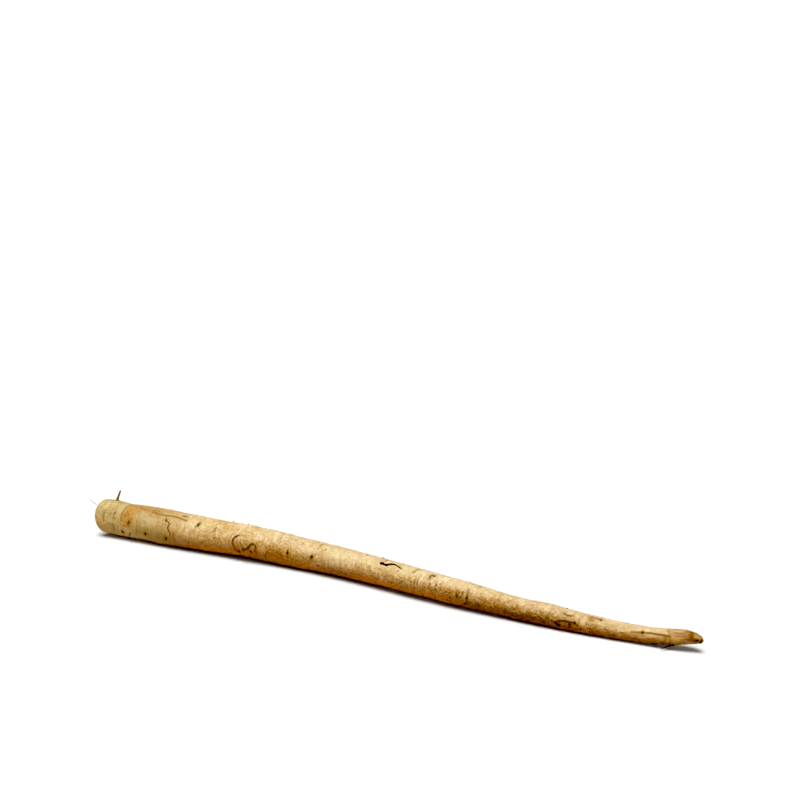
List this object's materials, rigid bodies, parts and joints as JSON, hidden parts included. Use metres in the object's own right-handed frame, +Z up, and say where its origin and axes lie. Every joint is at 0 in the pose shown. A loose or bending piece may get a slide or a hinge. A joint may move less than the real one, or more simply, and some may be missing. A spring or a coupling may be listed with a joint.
{
  "type": "burdock root",
  "caption": "Long slim burdock taproot lying on its side: a display vegetable with a knife-cut crown, ring-creased tan skin, fine dark rootlets and a blunt broken tip.",
  "frame": {"origin": "on the resting plane, under the middle of the root's bounding box", "axes": "+X along the root from the cut crown to the tip, +Y to the back, +Z up"},
  "size_m": [0.5172, 0.0409, 0.0385],
  "materials": {
    "skin": "matte dry tan skin with fine ring creases, brown scars and greenish grey mottling",
    "cut_flesh": "matte fibrous cream flesh with a greyish mauve ring under the skin",
    "rootlet": "matte dark brown dried fibre"
  },
  "bodies": {
    "root": {"burdock_root": "skin"}
  },
  "joints": []
}
